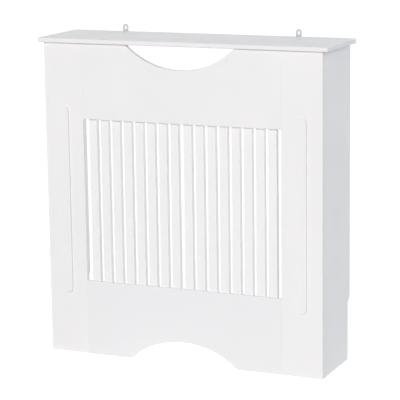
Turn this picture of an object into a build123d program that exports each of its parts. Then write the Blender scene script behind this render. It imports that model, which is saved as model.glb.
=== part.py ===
"""Radiator cover cabinet: a painted flat-pack cover that stands against a wall over a radiator.

Millimetres, +Z up, +X to the right seen from the front, and +Y towards the wall. The origin is
on the floor, at the middle of the shelf's length and depth.
"""

import os

from build123d import *

os.makedirs("parts", exist_ok=True)

# ---------------------------------------------------------------------------
# Driving sizes
# ---------------------------------------------------------------------------

# The body below the shelf
body_width = 750.0
body_height = 806.0
body_depth = 200.0  # from the front of the stiles to the wall
side_thickness = 12.0
front_thickness = 12.0  # of the stiles and rails
corner_round = 1.5  # on the body's upright front corners
arris = 0.6  # eased edge round the front faces, which shows as a fine line at each seam

# The shelf
shelf_thickness = 12.0
shelf_end_overhang = 15.0
shelf_front_overhang = 6.0
shelf_corner_round = 5.0  # in plan
shelf_edge_round = 2.5  # along the front and the ends

# The front
stile_width = 107.0
top_rail_height = 192.0
bottom_rail_height = 194.0
vent_width = 294.0  # concave cut-out at the top, where warm air leaves
vent_depth = 59.0
arch_width = 296.0  # arch at the foot, where cold air enters
arch_height = 56.0
moulding_width = 25.0  # round-ended moulding strip glued to each stile
moulding_thickness = 4.5
moulding_edge_round = 0.8
moulding_floor_gap = 160.0
moulding_shelf_gap = 160.0

# The slats
slat_width = 22.0
slat_thickness = 12.0
slats_per_group = 8
slat_end_gap = 13.7  # from the outer slats to the stiles
slat_group_gap = 13.6  # between the two groups
slat_setback = 6.0  # of the slats' faces behind the front faces
slat_lap = 25.0  # of a slat's end on each rail, in the rebate along the rail's back
slat_end_clearance = 0.5  # from a slat's end to the shoulder of its rebate

# The step in each side panel that clears a skirting board
skirting_depth = 15.0
skirting_height = 150.0

# Hidden joinery
batten_size = 20.0
batten_floor_gap = 30.0
batten_shelf_gap = 30.0
batten_screw_count = 4  # each way, in each batten
batten_screw_inset = 45.0
batten_screw_stagger = 16.0  # so that the two ways don't meet
cleat_width = 70.0
cleat_thickness = 12.0
cleat_floor_gap = 20.0
cleat_shelf_gap = 30.0
cleat_slat_gap = 10.0
cleat_screw_inset = 13.0  # from the ends of a cleat
cleat_screw_gap = 6.0  # from the end of a seam's dowel to a cleat screw's middle
block_length = 34.0
block_size = 18.0
block_bevel = 7.0
block_screw_spacing = 20.0
block_batten_gap = 8.0
block_wall_gap = 23.0
dowel_radius = 3.0
dowel_skin = 4.0  # board left beyond a blind dowel
dowel_edge_depth = 16.0
dowel_inset = 40.0  # from the ends of a rail's seam
corner_dowel_count = 3
corner_dowel_inset = 120.0
shelf_dowel_inset = 12.0  # from the front and rear edges of a side panel
joint_clearance = 0.1  # round each dowel, screw and pin

# Screws and pins
screw_radius = 1.75
screw_head_radius = 3.6
screw_head_height = 2.0
screw_head_taper = 25.0
screw_skin = 4.0  # board left beyond a screw's tip
drive_span = 3.8  # cross recess in each head
drive_width = 0.9
drive_depth = 1.4
pin_radius = 0.8
pin_head_radius = 1.5
pin_head_height = 0.5
pin_skin = 2.0  # board left beyond a pin's tip

# The two angle plates that stop the cover tipping from the wall
tab_spacing = 480.0
tab_width = 15.0
tab_thickness = 1.5
tab_rise = 19.0  # above the shelf
tab_reach = 32.0  # under the shelf
tab_bend_round = 1.2
tab_slot_width = 5.0
tab_slot_length = 9.0
tab_slot_height = 8.8  # of the slot's middle above the shelf
tab_seat_clearance = 0.2
tab_screw_inset = 7.5
tab_screw_spacing = 13.0

# ---------------------------------------------------------------------------
# Levels and planes
# ---------------------------------------------------------------------------

shelf_width = body_width + 2 * shelf_end_overhang
shelf_depth = body_depth + shelf_front_overhang
wall_y = shelf_depth / 2
front_y = wall_y - body_depth  # front faces of the stiles and rails
front_back_y = front_y + front_thickness
slat_front_y = front_y + slat_setback
slat_back_y = slat_front_y + slat_thickness
shelf_top = body_height + shelf_thickness

side_x = body_width / 2  # outer face of a side panel
side_inner_x = side_x - side_thickness
side_mid_x = side_x - side_thickness / 2
seam_x = side_x - stile_width  # seam of a stile and the rails
front_mid_y = front_y + front_thickness / 2

window_foot = bottom_rail_height
window_head = body_height - top_rail_height
slat_foot = window_foot - slat_lap
slat_head = window_head + slat_lap
slat_length = slat_head - slat_foot
rebate_height = slat_lap + slat_end_clearance
rebate_depth = front_thickness - slat_setback

batten_foot = batten_floor_gap
batten_head = body_height - batten_shelf_gap
batten_back_y = front_back_y + batten_size
batten_mid_y = front_back_y + batten_size / 2
batten_inner_x = side_inner_x - batten_size
batten_mid_x = side_inner_x - batten_size / 2

screw_hole_radius = screw_radius + joint_clearance
dowel_hole_radius = dowel_radius + joint_clearance
pin_hole_radius = pin_radius + joint_clearance

# The front boards seen from the front: X to the right and Z up, cut towards the wall.
front_face = Plane(origin=(0, front_y, 0), x_dir=(1, 0, 0), z_dir=(0, -1, 0))
front_back = front_face.offset(-front_thickness)
slat_face = front_face.offset(-slat_setback)
wall_face = Plane(origin=(0, wall_y, 0), x_dir=(1, 0, 0), z_dir=(0, -1, 0))

TOWARDS_WALL = (0, 1, 0)
DOWN = (0, 0, -1)
hands = (("left", -1), ("right", 1))


def even_steps(first, last, count):
    """Places of count things in a row, the first and last where stated."""
    return [first + (last - first) * step / (count - 1) for step in range(count)]


# ---------------------------------------------------------------------------
# Where the fasteners go. A screw's plane lies under its head and faces its driver.
# ---------------------------------------------------------------------------

# Cleats behind the four seams: two screws in the stile and two in the rail.
cleat_spans = {
    "upper": (slat_head + cleat_slat_gap, body_height - cleat_shelf_gap),
    "lower": (cleat_floor_gap, slat_foot - cleat_slat_gap),
}
cleat_screw_planes = [
    Plane(origin=(hand * (seam_x + across), front_back_y + cleat_thickness, level), z_dir=TOWARDS_WALL)
    for _, hand in hands
    for foot, head in cleat_spans.values()
    for across in (-dowel_edge_depth - cleat_screw_gap, dowel_edge_depth + cleat_screw_gap)
    for level in (foot + cleat_screw_inset, head - cleat_screw_inset)
]
cleat_screw_length = cleat_thickness + front_thickness - screw_skin

# Corner battens: one row of screws into the stile and one into the side panel.
batten_screw_levels = even_steps(
    batten_foot + batten_screw_inset, batten_head - batten_screw_inset, batten_screw_count
)
stile_screw_planes = [
    Plane(origin=(hand * batten_mid_x, batten_back_y, level + batten_screw_stagger), z_dir=TOWARDS_WALL)
    for _, hand in hands
    for level in batten_screw_levels
]
side_screw_planes = [
    Plane(origin=(hand * batten_inner_x, batten_mid_y, level), z_dir=(-hand, 0, 0))
    for _, hand in hands
    for level in batten_screw_levels
]
stile_screw_length = batten_size + front_thickness - screw_skin
side_screw_length = batten_size + side_thickness - screw_skin

# Fixing blocks under the shelf. Each has the middle of its seat and the way it faces.
rail_block_x = (vent_width / 2 + seam_x - cleat_width / 2) / 2
front_block_y = batten_back_y + block_batten_gap + block_length / 2
rear_block_y = wall_y - block_wall_gap - block_length / 2
block_seats = {}
for hand_name, hand in hands:
    block_seats[f"{hand_name}_rail_block"] = ((hand * rail_block_x, front_back_y), (0, 1))
    block_seats[f"{hand_name}_front_block"] = ((hand * side_inner_x, front_block_y), (-hand, 0))
    block_seats[f"{hand_name}_rear_block"] = ((hand * side_inner_x, rear_block_y), (-hand, 0))

block_level = body_height - block_size / 2
block_up_planes = []
block_across_planes = {"rail": [], "side": []}
for block_name, ((seat_x, seat_y), (face_x, face_y)) in block_seats.items():
    block_up_planes.append(
        Plane(
            origin=(
                seat_x + face_x * block_size / 2,
                seat_y + face_y * block_size / 2,
                body_height - block_size,
            ),
            z_dir=DOWN,
        )
    )
    for along in (-block_screw_spacing / 2, block_screw_spacing / 2):
        block_across_planes["rail" if face_y else "side"].append(
            Plane(
                origin=(
                    seat_x + face_x * block_size + abs(face_y) * along,
                    seat_y + face_y * block_size + abs(face_x) * along,
                    block_level,
                ),
                z_dir=(face_x, face_y, 0),
            )
        )
block_up_length = block_size + shelf_thickness - screw_skin
block_rail_length = block_size + front_thickness - screw_skin
block_side_length = block_size + side_thickness - screw_skin

# Angle plates: two screws each, up into the shelf.
tab_xs = {hand_name: hand * tab_spacing / 2 for hand_name, hand in hands}
tab_screw_planes = [
    Plane(origin=(tab_x, wall_y - tab_reach + inset, body_height - tab_thickness), z_dir=DOWN)
    for tab_x in tab_xs.values()
    for inset in (tab_screw_inset, tab_screw_inset + tab_screw_spacing)
]
tab_screw_length = tab_thickness + shelf_thickness - screw_skin

# Slats, evenly spaced in each half of the window, and one pin at each end of each.
inner_slat_x = (slat_group_gap + slat_width) / 2
outer_slat_x = seam_x - slat_end_gap - slat_width / 2
half_slat_xs = even_steps(inner_slat_x, outer_slat_x, slats_per_group)
slat_xs = [-slat_x for slat_x in reversed(half_slat_xs)] + half_slat_xs
pin_planes = [
    Plane(origin=(slat_x, slat_back_y, level), z_dir=TOWARDS_WALL)
    for slat_x in slat_xs
    for level in (slat_foot + slat_lap / 2, slat_head - slat_lap / 2)
]
pin_length = slat_thickness + slat_setback - pin_skin

# Dowels: in the rails' seams, between stiles and side panels, and up into the shelf.
rail_dowel_levels = (
    dowel_inset,
    window_foot - dowel_inset,
    window_head + dowel_inset,
    body_height - dowel_inset,
)
rail_dowel_planes = [
    Plane(origin=(hand * seam_x, front_mid_y, level), z_dir=(hand, 0, 0))
    for _, hand in hands
    for level in rail_dowel_levels
]
corner_dowel_planes = [
    Plane(origin=(hand * side_mid_x, front_back_y, level), z_dir=TOWARDS_WALL)
    for _, hand in hands
    for level in even_steps(corner_dowel_inset, body_height - corner_dowel_inset, corner_dowel_count)
]
shelf_dowel_planes = [
    Plane(origin=(hand * side_mid_x, dowel_y, body_height), z_dir=(0, 0, 1))
    for _, hand in hands
    for dowel_y in (front_back_y + shelf_dowel_inset, wall_y - shelf_dowel_inset)
]


# ---------------------------------------------------------------------------
# Shelf
# ---------------------------------------------------------------------------

with BuildPart() as top_shelf:
    with BuildSketch(Plane.XY.offset(body_height)):
        Rectangle(shelf_width, shelf_depth)
    extrude(amount=shelf_thickness)
    front_corners = top_shelf.edges().filter_by(Axis.Z).group_by(Axis.Y)[0]
    fillet(front_corners, radius=shelf_corner_round)
    # The front and the ends are rounded over above and below, and the wall edge is square.
    levels = top_shelf.edges().group_by(Axis.Z)
    rims = [edge for edge in levels[-1] + levels[0] if edge.center().Y < wall_y - shelf_edge_round]
    fillet(rims, radius=shelf_edge_round)
    # Each angle plate is let into the wall edge.
    with BuildSketch(Plane.XY.offset(body_height)):
        with Locations(*[(tab_x, wall_y) for tab_x in tab_xs.values()]):
            Rectangle(
                tab_width + 2 * tab_seat_clearance,
                2 * (tab_thickness + joint_clearance),
            )
    extrude(amount=shelf_thickness, mode=Mode.SUBTRACT)
    with BuildSketch(*block_up_planes):
        Circle(screw_hole_radius)
    extrude(amount=-block_up_length, mode=Mode.SUBTRACT)
    with BuildSketch(*tab_screw_planes):
        Circle(screw_hole_radius)
    extrude(amount=-tab_screw_length, mode=Mode.SUBTRACT)
    with BuildSketch(*shelf_dowel_planes):
        Circle(dowel_hole_radius)
    extrude(amount=shelf_thickness - dowel_skin, mode=Mode.SUBTRACT)
top_shelf.part.label = "top_shelf"
export_step(top_shelf.part, "parts/top_shelf.step")


# ---------------------------------------------------------------------------
# Side panels, with the skirting step at the rear foot
# ---------------------------------------------------------------------------

for hand_name, hand in hands:
    # Seen from the right: Y to the right and Z up, so the outline is the same for both hands.
    panel_plane = Plane(origin=(hand * side_mid_x, 0, 0), x_dir=(0, 1, 0), z_dir=(1, 0, 0))
    with BuildPart() as side_panel:
        with BuildSketch(panel_plane):
            with BuildLine():
                Polyline(
                    (front_back_y, 0),
                    (wall_y - skirting_depth, 0),
                    (wall_y - skirting_depth, skirting_height),
                    (wall_y, skirting_height + skirting_depth),
                    (wall_y, body_height),
                    (front_back_y, body_height),
                    close=True,
                )
            make_face()
        extrude(amount=side_thickness / 2, both=True)
        with BuildSketch(*side_screw_planes):
            Circle(screw_hole_radius)
        extrude(amount=-side_screw_length, mode=Mode.SUBTRACT)
        with BuildSketch(*block_across_planes["side"]):
            Circle(screw_hole_radius)
        extrude(amount=-block_side_length, mode=Mode.SUBTRACT)
        with BuildSketch(*corner_dowel_planes):
            Circle(dowel_hole_radius)
        extrude(amount=dowel_edge_depth, mode=Mode.SUBTRACT)
        with BuildSketch(*shelf_dowel_planes):
            Circle(dowel_hole_radius)
        extrude(amount=-dowel_edge_depth, mode=Mode.SUBTRACT)
    side_panel.part.label = f"{hand_name}_side_panel"
    export_step(side_panel.part, f"parts/{hand_name}_side_panel.step")


# ---------------------------------------------------------------------------
# Stiles, each with a round-ended moulding strip glued to its face
# ---------------------------------------------------------------------------

moulding_length = body_height - moulding_floor_gap - moulding_shelf_gap
moulding_middle = moulding_floor_gap + moulding_length / 2
for hand_name, hand in hands:
    stile_x = hand * (seam_x + stile_width / 2)
    with BuildPart() as stile:
        with BuildSketch(front_face):
            with Locations((stile_x, body_height / 2)):
                Rectangle(stile_width, body_height)
        extrude(amount=-front_thickness)
        outer_corner = stile.edges().filter_by(Axis.Z).group_by(Axis.Y)[0].sort_by(Axis.X)
        fillet(outer_corner[-1 if hand > 0 else 0], radius=corner_round)
        seam_edge = stile.edges().filter_by(Axis.Z).group_by(Axis.Y)[0].sort_by(Axis.X)
        chamfer(seam_edge[0 if hand > 0 else -1], length=arris)
        with BuildSketch(*cleat_screw_planes):
            Circle(screw_hole_radius)
        extrude(amount=-cleat_screw_length, mode=Mode.SUBTRACT)
        with BuildSketch(*stile_screw_planes):
            Circle(screw_hole_radius)
        extrude(amount=-stile_screw_length, mode=Mode.SUBTRACT)
        with BuildSketch(*rail_dowel_planes):
            Circle(dowel_hole_radius)
        extrude(amount=dowel_edge_depth, mode=Mode.SUBTRACT)
        with BuildSketch(*corner_dowel_planes):
            Circle(dowel_hole_radius)
        extrude(amount=dowel_skin - front_thickness, mode=Mode.SUBTRACT)
    stile.part.label = f"{hand_name}_stile"
    export_step(stile.part, f"parts/{hand_name}_stile.step")

    with BuildPart() as stile_moulding:
        with BuildSketch(front_face):
            with Locations((stile_x, moulding_middle)):
                SlotOverall(moulding_length, moulding_width, rotation=90)
        extrude(amount=moulding_thickness)
        fillet(stile_moulding.faces().sort_by(Axis.Y)[0].edges(), radius=moulding_edge_round)
    stile_moulding.part.label = f"{hand_name}_stile_moulding"
    export_step(stile_moulding.part, f"parts/{hand_name}_stile_moulding.step")


# ---------------------------------------------------------------------------
# Rails: the top one has the concave vent, the bottom one the arch. A rebate along the back of
# each, on the side of the window, takes the slats' ends.
# ---------------------------------------------------------------------------

with BuildPart() as top_rail:
    with BuildSketch(front_face):
        with BuildLine():
            Polyline(
                (vent_width / 2, body_height),
                (seam_x, body_height),
                (seam_x, window_head),
                (-seam_x, window_head),
                (-seam_x, body_height),
                (-vent_width / 2, body_height),
            )
            ThreePointArc(
                (-vent_width / 2, body_height),
                (0, body_height - vent_depth),
                (vent_width / 2, body_height),
            )
        make_face()
    extrude(amount=-front_thickness)
    chamfer(top_rail.faces().sort_by(Axis.Y)[0].edges(), length=arris)
    with BuildSketch(slat_face):
        with Locations((0, window_head + rebate_height / 2)):
            Rectangle(2 * seam_x, rebate_height)
    extrude(amount=-rebate_depth, mode=Mode.SUBTRACT)
    with BuildSketch(*cleat_screw_planes):
        Circle(screw_hole_radius)
    extrude(amount=-cleat_screw_length, mode=Mode.SUBTRACT)
    with BuildSketch(*block_across_planes["rail"]):
        Circle(screw_hole_radius)
    extrude(amount=-block_rail_length, mode=Mode.SUBTRACT)
    with BuildSketch(*rail_dowel_planes):
        Circle(dowel_hole_radius)
    extrude(amount=-dowel_edge_depth, mode=Mode.SUBTRACT)
    with BuildSketch(*pin_planes):
        Circle(pin_hole_radius)
    extrude(amount=-pin_length, mode=Mode.SUBTRACT)
top_rail.part.label = "top_rail"
export_step(top_rail.part, "parts/top_rail.step")

with BuildPart() as bottom_rail:
    with BuildSketch(front_face):
        with BuildLine():
            Polyline(
                (arch_width / 2, 0),
                (seam_x, 0),
                (seam_x, window_foot),
                (-seam_x, window_foot),
                (-seam_x, 0),
                (-arch_width / 2, 0),
            )
            ThreePointArc((-arch_width / 2, 0), (0, arch_height), (arch_width / 2, 0))
        make_face()
    extrude(amount=-front_thickness)
    chamfer(bottom_rail.faces().sort_by(Axis.Y)[0].edges(), length=arris)
    with BuildSketch(slat_face):
        with Locations((0, window_foot - rebate_height / 2)):
            Rectangle(2 * seam_x, rebate_height)
    extrude(amount=-rebate_depth, mode=Mode.SUBTRACT)
    with BuildSketch(*cleat_screw_planes):
        Circle(screw_hole_radius)
    extrude(amount=-cleat_screw_length, mode=Mode.SUBTRACT)
    with BuildSketch(*rail_dowel_planes):
        Circle(dowel_hole_radius)
    extrude(amount=-dowel_edge_depth, mode=Mode.SUBTRACT)
    with BuildSketch(*pin_planes):
        Circle(pin_hole_radius)
    extrude(amount=-pin_length, mode=Mode.SUBTRACT)
bottom_rail.part.label = "bottom_rail"
export_step(bottom_rail.part, "parts/bottom_rail.step")


# ---------------------------------------------------------------------------
# Slats, pinned into the rails' rebates
# ---------------------------------------------------------------------------

for number, slat_x in enumerate(slat_xs, start=1):
    with BuildPart() as slat:
        with BuildSketch(slat_face):
            with Locations((slat_x, slat_foot + slat_length / 2)):
                Rectangle(slat_width, slat_length)
        extrude(amount=-slat_thickness)
        long_front_edges = slat.edges().filter_by(Axis.Z).group_by(Axis.Y)[0]
        chamfer(long_front_edges, length=arris)
        with BuildSketch(*pin_planes):
            Circle(pin_hole_radius)
        extrude(amount=-slat_thickness, mode=Mode.SUBTRACT)
    slat.part.label = f"slat_{number:02d}"
    export_step(slat.part, f"parts/slat_{number:02d}.step")


# ---------------------------------------------------------------------------
# Hidden battens and cleats
# ---------------------------------------------------------------------------

for hand_name, hand in hands:
    with BuildPart() as corner_batten:
        with BuildSketch(Plane.XY.offset(batten_foot)):
            with Locations((hand * batten_mid_x, batten_mid_y)):
                Rectangle(batten_size, batten_size)
        extrude(amount=batten_head - batten_foot)
        with BuildSketch(*stile_screw_planes):
            Circle(screw_hole_radius)
        extrude(amount=-batten_size, mode=Mode.SUBTRACT)
        with BuildSketch(*side_screw_planes):
            Circle(screw_hole_radius)
        extrude(amount=-batten_size, mode=Mode.SUBTRACT)
    corner_batten.part.label = f"{hand_name}_corner_batten"
    export_step(corner_batten.part, f"parts/{hand_name}_corner_batten.step")

    for level_name, (cleat_foot, cleat_head) in cleat_spans.items():
        with BuildPart() as seam_cleat:
            with BuildSketch(front_back):
                with Locations((hand * seam_x, (cleat_foot + cleat_head) / 2)):
                    Rectangle(cleat_width, cleat_head - cleat_foot)
            extrude(amount=-cleat_thickness)
            with BuildSketch(*cleat_screw_planes):
                Circle(screw_hole_radius)
            extrude(amount=-cleat_thickness, mode=Mode.SUBTRACT)
        seam_cleat.part.label = f"{hand_name}_{level_name}_seam_cleat"
        export_step(seam_cleat.part, f"parts/{hand_name}_{level_name}_seam_cleat.step")


# ---------------------------------------------------------------------------
# Fixing blocks: bevelled plastic blocks, screwed across into the board and up into the shelf
# ---------------------------------------------------------------------------

for block_name, ((seat_x, seat_y), (face_x, face_y)) in block_seats.items():
    # The section's first axis runs from the seat out into the cover, its second axis up.
    section = Plane(
        origin=(seat_x, seat_y, body_height - block_size),
        x_dir=(face_x, face_y, 0),
        z_dir=(face_y, -face_x, 0),
    )
    with BuildPart() as fixing_block:
        with BuildSketch(section):
            with BuildLine():
                Polyline(
                    (0, 0),
                    (block_size - block_bevel / 2, 0),
                    (block_size, block_bevel / 2),
                    (block_size, block_size),
                    (0, block_size),
                    close=True,
                )
            make_face()
        extrude(amount=block_length / 2, both=True)
        with BuildSketch(*block_up_planes):
            Circle(screw_hole_radius)
        extrude(amount=-block_size, mode=Mode.SUBTRACT)
        with BuildSketch(*block_across_planes["rail"], *block_across_planes["side"]):
            Circle(screw_hole_radius)
        extrude(amount=-block_size, mode=Mode.SUBTRACT)
    fixing_block.part.label = block_name
    export_step(fixing_block.part, f"parts/{block_name}.step")


# ---------------------------------------------------------------------------
# Wall tabs: round-ended angle plates, one leg up behind the shelf and one under it
# ---------------------------------------------------------------------------

for hand_name, tab_x in tab_xs.items():
    tab_foot = body_height - tab_thickness
    tab_head = shelf_top + tab_rise
    with BuildPart() as wall_tab:
        with BuildSketch(wall_face):
            with Locations((tab_x, (tab_foot + tab_head - tab_width / 2) / 2)):
                Rectangle(tab_width, tab_head - tab_width / 2 - tab_foot)
            with Locations((tab_x, tab_head - tab_width / 2)):
                Circle(tab_width / 2)
        extrude(amount=tab_thickness)
        with BuildSketch(Plane.XY.offset(tab_foot)):
            with Locations((tab_x, wall_y - (tab_reach - tab_width / 2) / 2)):
                Rectangle(tab_width, tab_reach - tab_width / 2)
            with Locations((tab_x, wall_y - tab_reach + tab_width / 2)):
                Circle(tab_width / 2)
        extrude(amount=tab_thickness)
        outer_bend = wall_tab.edges().filter_by(Axis.X).group_by(Axis.Z)[0].sort_by(Axis.Y)[-1]
        fillet(outer_bend, radius=tab_bend_round)
        with BuildSketch(wall_face):
            with Locations((tab_x, shelf_top + tab_slot_height)):
                SlotOverall(tab_slot_length, tab_slot_width, rotation=90)
        extrude(amount=tab_thickness, mode=Mode.SUBTRACT)
        with BuildSketch(*tab_screw_planes):
            Circle(screw_hole_radius)
        extrude(amount=-tab_thickness, mode=Mode.SUBTRACT)
    wall_tab.part.label = f"{hand_name}_wall_tab"
    export_step(wall_tab.part, f"parts/{hand_name}_wall_tab.step")


# ---------------------------------------------------------------------------
# Fasteners: one node for each kind, as separate solids
# ---------------------------------------------------------------------------

screw_sets = {
    "cleat_screws": [(cleat_screw_planes, cleat_screw_length)],
    "batten_screws": [
        (stile_screw_planes, stile_screw_length),
        (side_screw_planes, side_screw_length),
    ],
    "block_screws": [
        (block_up_planes, block_up_length),
        (block_across_planes["rail"], block_rail_length),
        (block_across_planes["side"], block_side_length),
    ],
    "wall_tab_screws": [(tab_screw_planes, tab_screw_length)],
}
for set_name, rows in screw_sets.items():
    with BuildPart() as screws:
        for planes, length in rows:
            with BuildSketch(*planes):
                Circle(screw_head_radius)
            extrude(amount=screw_head_height, taper=screw_head_taper)
            with BuildSketch(*planes):
                Circle(screw_radius)
            extrude(amount=-length)
            head_tops = [plane.offset(screw_head_height) for plane in planes]
            with BuildSketch(*head_tops):
                Rectangle(drive_span, drive_width)
                Rectangle(drive_width, drive_span)
            extrude(amount=-drive_depth, mode=Mode.SUBTRACT)
    screws.part.label = set_name
    export_step(screws.part, f"parts/{set_name}.step")

with BuildPart() as slat_pins:
    with BuildSketch(*pin_planes):
        Circle(pin_head_radius)
    extrude(amount=pin_head_height)
    with BuildSketch(*pin_planes):
        Circle(pin_radius)
    extrude(amount=-pin_length)
slat_pins.part.label = "slat_pins"
export_step(slat_pins.part, "parts/slat_pins.step")

# Each set's planes, and how far a dowel reaches behind and in front of its plane.
dowel_sets = {
    "rail_dowels": (rail_dowel_planes, dowel_edge_depth, dowel_edge_depth),
    "corner_dowels": (corner_dowel_planes, front_thickness - dowel_skin, dowel_edge_depth),
    "shelf_dowels": (shelf_dowel_planes, dowel_edge_depth, shelf_thickness - dowel_skin),
}
for set_name, (planes, back_depth, front_depth) in dowel_sets.items():
    with BuildPart() as dowels:
        with BuildSketch(*planes):
            Circle(dowel_radius)
        extrude(amount=-back_depth)
        with BuildSketch(*planes):
            Circle(dowel_radius)
        extrude(amount=front_depth)
    dowels.part.label = set_name
    export_step(dowels.part, f"parts/{set_name}.step")
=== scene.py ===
# %% [markdown]
# # A painted radiator cover
# The cabinet is a flat-pack radiator cover: fibreboard sprayed satin white, a
# shelf on top, a slatted window in front, and no back.
# The boards come from the CAD as exact solids. They could be modelled again
# here, but then every rebate and screw would have to be fitted a second time,
# so this script keeps the solids and spends its effort on finishes and light.

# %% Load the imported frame
import math

import bpy
from mathutils import Matrix, Vector


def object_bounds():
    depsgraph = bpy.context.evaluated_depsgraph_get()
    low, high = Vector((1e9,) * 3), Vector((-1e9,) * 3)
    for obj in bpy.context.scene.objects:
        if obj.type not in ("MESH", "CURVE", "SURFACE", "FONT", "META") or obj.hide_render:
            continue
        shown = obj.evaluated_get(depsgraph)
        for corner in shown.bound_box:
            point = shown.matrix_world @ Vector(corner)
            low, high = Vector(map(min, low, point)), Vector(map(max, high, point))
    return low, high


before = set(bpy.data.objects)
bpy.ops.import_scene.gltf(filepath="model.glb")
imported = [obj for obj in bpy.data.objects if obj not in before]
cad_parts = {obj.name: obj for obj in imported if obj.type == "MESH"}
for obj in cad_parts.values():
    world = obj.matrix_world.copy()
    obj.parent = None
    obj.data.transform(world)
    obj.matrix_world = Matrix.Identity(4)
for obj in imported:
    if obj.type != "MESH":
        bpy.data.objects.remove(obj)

cad_box = [list(corner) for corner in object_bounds()]
cabinet_width = cad_box[1][0] - cad_box[0][0]
print(f"{len(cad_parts)} boards and fittings, {cabinet_width * 1000:.0f} mm wide")

# %% [markdown]
# ## Camera
# The photographer stood to the right of the cover and a little above it, far
# enough away that its edges hardly converge. A long lens from that spot could
# be guessed by eye. Here it comes from lining up the corners of the shelf, the
# boards and the cut-outs with the picture, which also gave the slight roll.

# %% Camera
camera_place = Vector((1.7964, -4.0457, 1.2909))
camera_turn = math.radians(23.833)
camera_tilt = math.radians(11.317)
camera_roll = math.radians(-0.798)
camera_lens = 159.80

camera = bpy.data.objects.new("camera", bpy.data.cameras.new("camera"))
camera.data.lens = camera_lens
camera.data.sensor_width = 36.0
camera.matrix_world = (
    Matrix.Translation(camera_place)
    @ Matrix.Rotation(camera_turn, 4, "Z")
    @ Matrix.Rotation(math.pi / 2 - camera_tilt, 4, "X")
    @ Matrix.Rotation(camera_roll, 4, "Z")
)
bpy.context.collection.objects.link(camera)
bpy.context.scene.camera = camera
bpy.context.scene.view_settings.view_transform = "Standard"
print(f"camera {camera_place.length:.2f} m away, {camera_lens:.0f} mm lens")

# %% [markdown]
# ## Small helpers for node trees
# A material is a chain of nodes, and one node takes four lines when each
# setting and link is written out. These helpers make it one line: `add` makes
# a node and fills its inputs with numbers or with other nodes' outputs,
# `new_group` starts a node group with named inputs, and `give_out` ends it
# with named outputs.

# %% Node helpers
def add(tree, kind, inputs=None, **settings):
    """A node of that kind in tree. inputs maps a socket to a value or to an output to link."""
    node = tree.nodes.new(kind)
    for name, value in settings.items():
        setattr(node, name, value)
    for name, value in (inputs or {}).items():
        if isinstance(value, bpy.types.NodeSocket):
            tree.links.new(value, node.inputs[name])
        else:
            node.inputs[name].default_value = value
    return node


def new_group(name, inputs):
    """An empty node group, and the sockets of what is given to it."""
    group = bpy.data.node_groups.new(name, "ShaderNodeTree")
    for label, value in inputs.items():
        kind = "NodeSocketVector" if isinstance(value, tuple) else "NodeSocketFloat"
        socket = group.interface.new_socket(name=label, in_out="INPUT", socket_type=kind)
        socket.default_value = value
    return group, group.nodes.new("NodeGroupInput").outputs


def give_out(group, results):
    """The end of a group: each result leaves it by an output of that name."""
    for label in results:
        group.interface.new_socket(name=label, in_out="OUTPUT", socket_type="NodeSocketFloat")
    way_out = group.nodes.new("NodeGroupOutput").inputs
    for label, value in results.items():
        group.links.new(value, way_out[label])
    print(f"{group.name}: {', '.join(results)}")


print("node helpers ready")

# %% [markdown]
# ## Arithmetic on the surface
# Wear, dust and grain are all masks, values between 0 and 1 that differ from
# point to point. They could be painted by hand, one board at a time. Here
# they are worked out from the point's place and the way its surface faces, by
# multiplying, by stretching a range, and by noise. Every size is in metres, so
# a blotch of 0.14 is about as long as a hand.

# %% Arithmetic helpers
def calc(tree, operation, first, second=0.0):
    """The result of one arithmetic step on two values."""
    return add(tree, "ShaderNodeMath", {0: first, 1: second}, operation=operation).outputs[0]


def times(tree, first, second):
    """The product of two values, which for masks is where both apply."""
    return calc(tree, "MULTIPLY", first, second)


def vector_calc(tree, operation, first, second=(0.0, 0.0, 0.0)):
    """The outputs of one arithmetic step on two vectors."""
    return add(tree, "ShaderNodeVectorMath", {0: first, 1: second}, operation=operation).outputs


def spread(tree, value, low, high, to_low=0.0, to_high=1.0, smooth=False):
    """value stretched so that low..high becomes to_low..to_high, and held there."""
    return add(
        tree, "ShaderNodeMapRange", {0: value, 1: low, 2: high, 3: to_low, 4: to_high},
        interpolation_type="SMOOTHSTEP" if smooth else "LINEAR", clamp=True,
    ).outputs[0]


print("arithmetic helpers ready")

# %% Noise helpers
def noise(tree, point, size, detail=2.0, roughness=0.5, twist=0.0):
    """Noise whose blotches are about size metres across."""
    inputs = {
        "Vector": point, "Scale": calc(tree, "DIVIDE", 1.0, size), "Detail": detail,
        "Roughness": roughness, "Distortion": twist,
    }
    return add(tree, "ShaderNodeTexNoise", inputs).outputs["Fac"]


def stretched(tree, point, x, y, z):
    """The point with each axis multiplied, so that a pattern gets longer where it is below 1."""
    return vector_calc(tree, "MULTIPLY", point, (x, y, z))[0]


print("noise helpers ready")

# %% [markdown]
# ## Sprayed lacquer
# The boards were primed and sprayed. A sprayed coat is never quite even: it
# clouds over a hand's width where the passes overlap, its gloss changes where
# the mist fell dry, and close up it has orange peel, a faint ripple a couple
# of millimetres across. A painted image could hold this, but noise in the
# board's own space needs no unwrapping and runs over every edge, so one group
# gives all three effects as values between 0 and 1.

# %% Sprayed lacquer group
lacquer_group, given = new_group(
    "Sprayed lacquer",
    {"Point": (0.0, 0.0, 0.0), "Cloud size": 0.14, "Mist size": 0.03, "Peel size": 0.0024},
)
cloud = noise(lacquer_group, given["Point"], given["Cloud size"], roughness=0.45, twist=0.3)
mist = noise(lacquer_group, given["Point"], given["Mist size"], detail=4.0, roughness=0.6)
peel = noise(lacquer_group, given["Point"], given["Peel size"], detail=1.0, roughness=0.4)
give_out(lacquer_group, {
    "Cloud": spread(lacquer_group, cloud, 0.3, 0.7),
    "Mist": spread(lacquer_group, mist, 0.35, 0.7),
    "Peel": peel,
})

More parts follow.
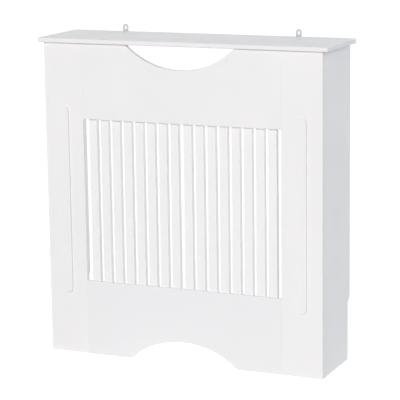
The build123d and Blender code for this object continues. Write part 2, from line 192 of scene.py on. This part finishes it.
# %% [markdown]
# ## Board edges
# Fibreboard drinks paint where it was sawn. A cut edge stays rougher than the
# face and shows the fibres, and the sanded corner between the two, the arris,
# has the thinnest coat. Vertex paint could mark these places, but the frame's
# meshes mustn't change. The surface normal already tells them apart: along
# the board's face direction it is a face, across it a cut edge, and in
# between the rounded arris.

# %% Board edges group
edge_group, given = new_group(
    "Board edges",
    {"Point": (0.0, 0.0, 0.0), "Normal": (0.0, 0.0, 1.0), "Face direction": (0.0, 1.0, 0.0),
     "Fibre size": 0.0011},
)
along_face = vector_calc(edge_group, "DOT_PRODUCT", given["Normal"], given["Face direction"])
facing = calc(edge_group, "ABSOLUTE", along_face["Value"])
off_the_edge = spread(edge_group, facing, 0.02, 0.35, smooth=True)
off_the_face = spread(edge_group, facing, 0.995, 0.80, smooth=True)
fibre = noise(
    edge_group, given["Point"], given["Fibre size"], detail=4.0, roughness=0.65, twist=0.4)
give_out(edge_group, {
    "Cut edge": spread(edge_group, facing, 0.85, 0.15, smooth=True),
    "Arris": times(edge_group, off_the_edge, off_the_face),
    "Fibre": fibre,
})

# %% [markdown]
# ## Resting dust
# House dust settles on whatever faces up, thicker in patches, and a cloth
# drags it into faint streaks along the shelf. Particles would be far too much
# for this. A mask of upward faces times soft noise is enough, with a second
# mask of long thin streaks that only changes the gloss.

# %% Resting dust group
dust_group, given = new_group(
    "Resting dust",
    {"Point": (0.0, 0.0, 0.0), "Normal": (0.0, 0.0, 1.0), "Patch size": 0.05,
     "Streak size": 0.012},
)
rise_of_face = add(dust_group, "ShaderNodeSeparateXYZ", {0: given["Normal"]}).outputs["Z"]
upward = spread(dust_group, rise_of_face, 0.6, 0.95, smooth=True)
settled = noise(dust_group, given["Point"], given["Patch size"], detail=5.0, roughness=0.65)
along_shelf = stretched(dust_group, given["Point"], 0.07, 1.0, 1.0)
wiped = noise(
    dust_group, along_shelf, given["Streak size"], detail=3.0, roughness=0.6, twist=0.6)
give_out(dust_group, {
    "Dust": times(dust_group, upward, spread(dust_group, settled, 0.35, 0.75)),
    "Streak": times(dust_group, upward, spread(dust_group, wiped, 0.42, 0.72)),
})

# %% [markdown]
# ## Wood grain
# The corner battens and seam cleats are bare softwood, and the dowels are
# beech. Both show growth rings as long bands, short dark pores or flecks
# along the grain, and a slow drift of colour. A photograph of pine would look
# sharper close up, but it can't follow a turned dowel, so the rings are real
# ones: distance from a pith line beside the piece, bent by noise, with the
# grain along Z.

# %% Wood grain group
wander_size, wander_reach, drift_size, ring_sharpness = 0.05, 0.02, 0.04, 2.2

wood_group, given = new_group(
    "Wood grain",
    {"Point": (0.0, 0.0, 0.0), "Pith": (0.06, 0.09, 0.0), "Ring width": 0.0035,
     "Pore size": 0.0012},
)
from_pith = vector_calc(wood_group, "ADD", given["Point"], given["Pith"])[0]
radius = vector_calc(wood_group, "LENGTH", stretched(wood_group, from_pith, 1.0, 1.0, 0.02))
wander = noise(
    wood_group, stretched(wood_group, from_pith, 1.0, 1.0, 0.12), wander_size,
    detail=3.0, roughness=0.55)
bent = calc(wood_group, "ADD", radius["Value"], times(wood_group, wander, wander_reach))
turns = calc(wood_group, "DIVIDE", bent, given["Ring width"])
ring = spread(wood_group, calc(wood_group, "FRACT", turns), 0.15, 1.0)
pore = noise(
    wood_group, stretched(wood_group, given["Point"], 1.0, 1.0, 0.05), given["Pore size"],
    detail=3.0, roughness=0.7)
give_out(wood_group, {
    "Ring": calc(wood_group, "POWER", ring, ring_sharpness),
    "Pore": spread(wood_group, pore, 0.5, 0.72),
    "Drift": noise(
        wood_group, stretched(wood_group, given["Point"], 1.0, 1.0, 0.2), drift_size),
})

# %% [markdown]
# ## Zinc plate
# The hanging tabs, screws and pins are bright zinc over steel. The plate is
# cloudy from the bath and carries fine rub marks from the tumbling drum. A
# plain metal with one roughness would look like chrome. One group gives the
# clouds and the marks, and each fitting mixes them in its own measure.

# %% Zinc plate group
zinc_group, given = new_group(
    "Zinc plate",
    {"Point": (0.0, 0.0, 0.0), "Cloud size": 0.004, "Mark size": 0.0006},
)
bath = noise(
    zinc_group, given["Point"], given["Cloud size"], detail=3.0, roughness=0.55, twist=0.5)
rub_lines = stretched(zinc_group, given["Point"], 1.0, 1.0, 0.08)
give_out(zinc_group, {
    "Cloud": spread(zinc_group, bath, 0.3, 0.7),
    "Mark": noise(
        zinc_group, rub_lines, given["Mark size"], detail=3.0, roughness=0.6, twist=0.2),
})

# %% [markdown]
# ## Starting and ending a material
# Every finish here begins the same way: a Principled shader, the point on the
# surface in the object's own space, and the surface normal. The object's own
# space is metres, so a size in a group is a real size on the cover. Every
# finish ends the same way too, with a colour, a roughness and a bumped normal
# that vary over the surface.

# %% Material helpers
def new_material(name):
    """A material with its tree, its Principled shader, and the point and normal to shade."""
    material = bpy.data.materials.new(name)
    material.use_nodes = True
    tree = material.node_tree
    place = add(tree, "ShaderNodeTexCoord").outputs
    return material, tree, tree.nodes["Principled BSDF"], place["Object"], place["Normal"]


def use(tree, group, **inputs):
    """A placed node group. An underscore in an input's name stands for a space."""
    named = {name.replace("_", " "): value for name, value in inputs.items()}
    return add(tree, "ShaderNodeGroup", named, node_tree=group).outputs


def cover(tree, shader, colour, roughness, normal):
    """Links what varies over the surface to the shader."""
    tree.links.new(colour, shader.inputs["Base Color"])
    tree.links.new(roughness, shader.inputs["Roughness"])
    tree.links.new(normal, shader.inputs["Normal"])


print("material helpers ready")

# %% Colour and relief helpers
def tint(tree, amount, base, over):
    """base colour with the over colour laid on by amount. Either may be a link."""
    node = add(tree, "ShaderNodeMix", {0: amount, 6: base, 7: over}, data_type="RGBA")
    return node.outputs[2]


def raised(tree, height, depth, under=None):
    """A bumped normal: height from 0 to 1 stands for depth metres."""
    inputs = {"Height": height, "Distance": depth, "Strength": 1.0}
    if under is not None:
        inputs["Normal"] = under
    return add(tree, "ShaderNodeBump", inputs).outputs["Normal"]


print("colour and relief helpers ready")

# %% [markdown]
# ## White paint
# One recipe, six uses. The shelf was sprayed and flatted for a finer, shinier
# coat. The stiles and the top rail have the ordinary satin coat. The sides and
# the slats get a whiter paint, and the slats' sawn sides thin less. This is
# painted light: it brightens the side panels and the slats' sides beyond what
# the lamps give them. The bottom rail gets a darker, cooler white. A material
# written out for each would repeat the same thirty lines, so one function takes
# what differs: which way the board faces, how rough and how white the coat is,
# and how much clouds, peel and edges show.

# %% Paint colour
paint_white = (0.86, 0.86, 0.86, 1.0)
# The next two whites are painted light: brighter than paint_white, so the sides and the slats'
# sides read lighter than the lamps make them.
side_white_painted_light = (0.876, 0.876, 0.878, 1.0)
slat_white_painted_light = (0.878, 0.876, 0.876, 1.0)
# A darker, cooler white for the bottom rail.
cool_white = (0.824, 0.838, 0.848, 1.0)
paint_cloudy = (0.835, 0.837, 0.84, 1.0)
thin_coat = (0.80, 0.785, 0.76, 1.0)
house_dust = (0.66, 0.64, 0.61, 1.0)


def paint_colour(tree, coat, edge, dusty, white, cloud, thin_edges, dust):
    """White that clouds, thins at sawn edges and rubbed corners, and holds some dust."""
    soaked = times(tree, edge["Cut edge"], spread(tree, edge["Fibre"], 0.35, 0.7, 0.05, 0.35))
    rubbed = times(tree, edge["Arris"], spread(tree, coat["Mist"], 0.2, 0.9, 0.1, 0.6))
    colour = tint(tree, times(tree, coat["Cloud"], cloud), white, paint_cloudy)
    for thinned in (soaked, rubbed):
        colour = tint(tree, times(tree, thinned, thin_edges), colour, thin_coat)
    return tint(tree, times(tree, dusty["Dust"], dust), colour, house_dust)


print("whites:", paint_white[:3], side_white_painted_light[:3], slat_white_painted_light[:3], cool_white[:3])

# %% Paint gloss and relief
mist_smoother, mist_rougher = 0.04, 0.05
sawn_rougher, dust_rougher, wiped_smoother = 0.14, 0.10, 0.05
fibre_depth = 0.00006


def paint_roughness(tree, coat, edge, dusty, rough):
    """rough, changed by dry mist, sawn edges, dust and the streaks of a cloth."""
    roughness = spread(
        tree, coat["Mist"], 0.0, 1.0, rough - mist_smoother, rough + mist_rougher)
    for mask, rougher in (
        (edge["Cut edge"], sawn_rougher),
        (dusty["Dust"], dust_rougher),
        (dusty["Streak"], -wiped_smoother),
    ):
        roughness = calc(tree, "ADD", roughness, times(tree, mask, rougher))
    return roughness


def paint_relief(tree, coat, edge, peel_depth):
    """Orange peel all over, on top of the fibres of the sawn edges."""
    fibres = raised(tree, times(tree, edge["Cut edge"], edge["Fibre"]), fibre_depth)
    return raised(tree, coat["Peel"], peel_depth, under=fibres)


print(f"fibres stand {fibre_depth * 1000:.2f} mm out of a sawn edge")

# %% Paint recipe
def white_paint(name, face_direction, rough, cloud=0.5, peel_depth=0.00002, dust=0.10,
                shine=0.5, white=paint_white, thin_edges=1.0):
    """Satin white spray paint on a board that faces face_direction."""
    material, tree, shader, point, normal = new_material(name)
    shader.inputs["Specular IOR Level"].default_value = shine
    coat = use(tree, lacquer_group, Point=point)
    edge = use(tree, edge_group, Point=point, Normal=normal, Face_direction=face_direction)
    dusty = use(tree, dust_group, Point=point, Normal=normal)
    cover(
        tree, shader,
        colour=paint_colour(tree, coat, edge, dusty, white, cloud, thin_edges, dust),
        roughness=paint_roughness(tree, coat, edge, dusty, rough),
        normal=paint_relief(tree, coat, edge, peel_depth),
    )
    return material


print("paint recipe ready")

# %% [markdown]
# ## The painted boards
# The shelf's big faces look up, the sides' look left and right, and those of
# the front look forward, so the recipe gets three directions. One direction
# for all boards would take a shelf's face for a sawn edge. The bottom rail has
# the same material slot as the top rail, so its cooler paint is kept apart
# from the others and is laid on by the rail's own name.

# %% Painted finishes
across_x, across_y, across_z = (1.0, 0.0, 0.0), (0.0, 1.0, 0.0), (0.0, 0.0, 1.0)
finishes = {
    "shelf_paint": white_paint(
        "shelf paint", across_z, rough=0.34, peel_depth=0.000014, dust=0.16, shine=0.30),
    # The sides' whiter paint is painted light.
    "side_paint": white_paint(
        "side paint", across_x, rough=0.42, cloud=0.7, white=side_white_painted_light),
    "stile_paint": white_paint("stile paint", across_y, rough=0.42),
    "rail_paint": white_paint("rail paint", across_y, rough=0.43, cloud=0.8),
    # The slats' whiter paint and their low thin_edges are painted light that brightens their sawn
    # sides.
    "slat_paint": white_paint(
        "slat paint", across_y, rough=0.45, cloud=0.3, peel_depth=0.00003,
        white=slat_white_painted_light, thin_edges=0.2),
}
bottom_rail_paint = white_paint(
    "bottom rail paint", across_y, rough=0.43, cloud=0.6, white=cool_white)
print("painted:", ", ".join(finishes), "and", bottom_rail_paint.name)

# %% [markdown]
# ## Bare wood
# Softwood battens and cleats are planed and left bare: pale yellow early wood,
# darker late wood rings, a slight sheen across the planed face. Beech dowels
# are pinker, with short dark flecks and hardly any ring. Both use the wood
# group, with colours and sizes of their own.

# %% Softwood and beech
early_wood_rougher, late_wood_smoother = 0.05, 0.06
most_drift, ring_depth = 0.3, 0.00005


def bare_wood(name, pale, dark, fleck, ring_width, ring_share, pore_share, rough):
    """Planed bare wood with the grain along Z."""
    material, tree, shader, point, _ = new_material(name)
    grain = use(tree, wood_group, Point=point, Ring_width=ring_width)
    drifted = spread(tree, grain["Drift"], 0.35, 0.7, 0.0, most_drift)
    colour = tint(tree, times(tree, grain["Ring"], ring_share), pale, dark)
    colour = tint(tree, drifted, colour, dark)
    colour = tint(tree, times(tree, grain["Pore"], pore_share), colour, fleck)
    roughness = spread(
        tree, grain["Ring"], 0.0, 1.0, rough + early_wood_rougher, rough - late_wood_smoother)
    hollow = calc(tree, "SUBTRACT", grain["Ring"], grain["Pore"])
    cover(tree, shader, colour, roughness, raised(tree, hollow, ring_depth))
    return material


finishes["softwood"] = bare_wood(
    "planed softwood",
    pale=(0.78, 0.62, 0.42, 1.0), dark=(0.56, 0.36, 0.17, 1.0), fleck=(0.40, 0.25, 0.12, 1.0),
    ring_width=0.0042, ring_share=0.75, pore_share=0.25, rough=0.62,
)
finishes["beech"] = bare_wood(
    "fluted beech",
    pale=(0.76, 0.58, 0.40, 1.0), dark=(0.62, 0.42, 0.26, 1.0), fleck=(0.36, 0.20, 0.11, 1.0),
    ring_width=0.0018, ring_share=0.3, pore_share=0.6, rough=0.58,
)
print("bare wood:", ", ".join(finishes[wood].name for wood in ("softwood", "beech")))

# %% [markdown]
# ## Moulded plastic blocks
# The fixing blocks are white moulded plastic. The mould was spark-eroded, so
# the skin has a fine even grain, and the plastic is a touch warmer than the
# paint with faint flow marks. It is used once, so it needs no group.

# %% Block plastic
fresh_plastic, flow_plastic = (0.85, 0.85, 0.83, 1.0), (0.80, 0.795, 0.765, 1.0)
fresh_rough, flow_rough = 0.46, 0.56
sparks_per_metre, spark_depth, flow_size = 1700.0, 0.00003, 0.006

material, tree, shader, point, _ = new_material("moulded block")
spark = add(
    tree, "ShaderNodeTexVoronoi", {"Vector": point, "Scale": sparks_per_metre}
).outputs["Distance"]
flow = noise(tree, stretched(tree, point, 1.0, 0.3, 1.0), flow_size, twist=0.8)
flow = spread(tree, flow, 0.35, 0.7)
cover(
    tree, shader,
    colour=tint(tree, flow, fresh_plastic, flow_plastic),
    roughness=spread(tree, flow, 0.0, 1.0, fresh_rough, flow_rough),
    normal=raised(tree, spark, spark_depth),
)
finishes["block_plastic"] = material
print("plastic:", material.name)

# %% [markdown]
# ## Zinc fittings
# Tabs are pressed from sheet and plated, and they are the brightest. Screws
# are rolled and tumbled and take a yellower passivate, and the pins are plain
# drawn wire, greyer and finer.

# %% Tab, screw and pin steel
mark_smoother, mark_rougher = 0.06, 0.10


def zinc(name, bright, dull, rough, cloud_size, mark_depth):
    """Plated steel with bath clouds and rub marks."""
    material, tree, shader, point, _ = new_material(name)
    shader.inputs["Metallic"].default_value = 1.0
    plate = use(tree, zinc_group, Point=point, Cloud_size=cloud_size)
    roughness = spread(
        tree, plate["Mark"], 0.3, 0.7, rough - mark_smoother, rough + mark_rougher)
    cover(
        tree, shader,
        colour=tint(tree, plate["Cloud"], bright, dull),
        roughness=roughness,
        normal=raised(tree, plate["Mark"], mark_depth),
    )
    return material


finishes["tab_steel"] = zinc(
    "tab steel", bright=(0.84, 0.84, 0.84, 1.0), dull=(0.70, 0.71, 0.72, 1.0),
    rough=0.30, cloud_size=0.006, mark_depth=0.000006)
finishes["screw_steel"] = zinc(
    "screw steel", bright=(0.70, 0.69, 0.66, 1.0), dull=(0.58, 0.56, 0.50, 1.0),
    rough=0.28, cloud_size=0.002, mark_depth=0.000004)
finishes["pin_steel"] = zinc(
    "pin steel", bright=(0.62, 0.61, 0.59, 1.0), dull=(0.50, 0.49, 0.47, 1.0),
    rough=0.34, cloud_size=0.002, mark_depth=0.000003)
print("zinc:", ", ".join(name for name in finishes if name.endswith("steel")))

# %% [markdown]
# ## Put the finishes on the boards
# Each solid from the CAD carries the name of its material slot as an empty
# material. Replacing the slot's content keeps the mesh as it is, and works
# for any number of boards.

# %% Dress the boards
dressed = {}
for name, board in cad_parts.items():
    for slot in board.material_slots:
        finish_name = slot.material.name.split(".")[0]
        slot.material = bottom_rail_paint if name == "bottom_rail" else finishes[finish_name]
        dressed.setdefault(finish_name, []).append(name)
for finish_name, names in dressed.items():
    print(f"{finish_name}: {len(names)}")

# %% [markdown]
# ## Floor and background
# The picture's background is pure white. Turning the lamps up until the floor
# clips would burn out the cover too. So the camera, and any mirror-like
# bounce, sees a floor that glows just under white and takes the last bit from
# the lamps, which keeps the cover's shadow on it. Every other ray meets a
# plain pale floor that throws ordinary light back up. Seen from below it is
# clear, so that the cover can be looked at from there.

# %% Floor
floor_reach = 30.0

floor_mesh = bpy.data.meshes.new("floor")
floor_mesh.from_pydata(
    [(x * floor_reach, y * floor_reach, 0.0) for x, y in ((-1, -1), (1, -1), (1, 1), (-1, 1))],
    [], [(0, 1, 2, 3)],
)
floor = bpy.data.objects.new("floor", floor_mesh)
bpy.context.collection.objects.link(floor)
print(f"floor {2 * floor_reach:.0f} m square")

# %% Floor paint
pure_white = (1.0, 1.0, 1.0, 1.0)
floor_glow = 0.90
floor_grey_seen = (0.24, 0.24, 0.24, 1.0)
floor_grey = (0.80, 0.80, 0.80, 1.0)


def seen_directly(tree):
    """1 for what the camera sees straight or in a reflection or through glass, else 0."""
    path = add(tree, "ShaderNodeLightPath").outputs
    seen = calc(tree, "MAXIMUM", path["Is Camera Ray"], path["Is Glossy Ray"])
    return calc(tree, "MAXIMUM", seen, path["Is Transmission Ray"])


def either(tree, share, first, second):
    """The first node's shader where share is 0, and the second's where it is 1."""
    return add(
        tree, "ShaderNodeMixShader", {0: share, 1: first.outputs[0], 2: second.outputs[0]})


floor_material = bpy.data.materials.new("studio floor")
floor_material.use_nodes = True
tree = floor_material.node_tree
tree.nodes.clear()
glow = add(tree, "ShaderNodeEmission", {"Color": pure_white, "Strength": floor_glow})
shaded = add(tree, "ShaderNodeBsdfDiffuse", {"Color": floor_grey_seen})
white_floor = add(tree, "ShaderNodeAddShader", {0: glow.outputs[0], 1: shaded.outputs[0]})
pale_floor = add(tree, "ShaderNodeBsdfDiffuse", {"Color": floor_grey})
top_side = either(tree, seen_directly(tree), pale_floor, white_floor)
below = add(tree, "ShaderNodeNewGeometry").outputs["Backfacing"]
both_sides = either(tree, below, top_side, add(tree, "ShaderNodeBsdfTransparent"))
add(tree, "ShaderNodeOutputMaterial", {"Surface": both_sides.outputs[0]})
floor_mesh.materials.append(floor_material)
print(f"floor glows {floor_glow:.2f} to the camera")

# %% [markdown]
# ## Studio light
# The front is the brightest face, the side and the shelf are a step darker,
# the slats' sides are nearly as bright as their faces, and every shadow is
# soft. One lamp can't do that, and the room alone would leave every face the
# same. So there are three soft boxes far away, and the room, which is the
# world, adds the rest: it lights the cover with a cool, even glow, while
# anything that reflects it or looks past the floor sees plain white.

# %% World
room_glow, room_colour = 0.19, (0.83, 1.0, 1.11, 1.0)

world = bpy.data.worlds.new("pale room")
bpy.context.scene.world = world
world.use_nodes = True
tree = world.node_tree
tree.nodes.clear()
room = add(tree, "ShaderNodeBackground", {"Color": room_colour, "Strength": room_glow})
white = add(tree, "ShaderNodeBackground", {"Color": pure_white, "Strength": 1.0})
mixed = either(tree, seen_directly(tree), room, white)
add(tree, "ShaderNodeOutputWorld", {"Surface": mixed.outputs[0]})
print("room glow", room_glow)

# %% [markdown]
# ## Soft boxes
# The key stands in front and above. One box behind on the right reaches along
# the side and in between the slats. A low one behind on the left lights the
# slats' left sides, which throw its light on the right sides that the camera
# sees. It can't be stronger, or the inside of the front would clip when seen
# from behind. Spot lamps would draw hard shadows, so these are wide squares.
# They don't show in the gloss, where the white room does already.

# %% Soft boxes
middle = Vector((0.0, 0.0, 0.40))


def soft_box(name, side, height, distance, size, power, colour):
    """A square area lamp aimed at the middle. side 0 is in front, and 90 degrees to the right."""
    turn, rise = math.radians(side), math.radians(height)
    level = math.cos(rise)
    away = Vector((math.sin(turn) * level, -math.cos(turn) * level, math.sin(rise)))
    lamp = bpy.data.objects.new(name, bpy.data.lights.new(name, "AREA"))
    lamp.data.shape = "SQUARE"
    lamp.data.size = size
    lamp.data.energy = power
    lamp.data.color = colour
    lamp.location = middle + distance * away
    lamp.rotation_mode = "QUATERNION"
    lamp.rotation_quaternion = away.to_track_quat("Z", "Y")
    lamp.visible_camera = False
    lamp.visible_glossy = False
    bpy.context.collection.objects.link(lamp)
    return lamp


# The sides' and slats' whiter paint adds painted light on top of these lamps.
lamps = [
    soft_box("key", side=6, height=27, distance=40.0, size=18.8, power=12450.0,
             colour=(1.0, 0.945, 0.930)),
    soft_box("back right", side=152, height=18, distance=30.0, size=8.5, power=5200.0,
             colour=(1.0, 0.995, 1.02)),
    soft_box("back left", side=218, height=4, distance=30.0, size=3.4, power=2150.0,
             colour=(1.0, 1.0, 1.0)),
]
print("lamps:", ", ".join(lamp.name for lamp in lamps))
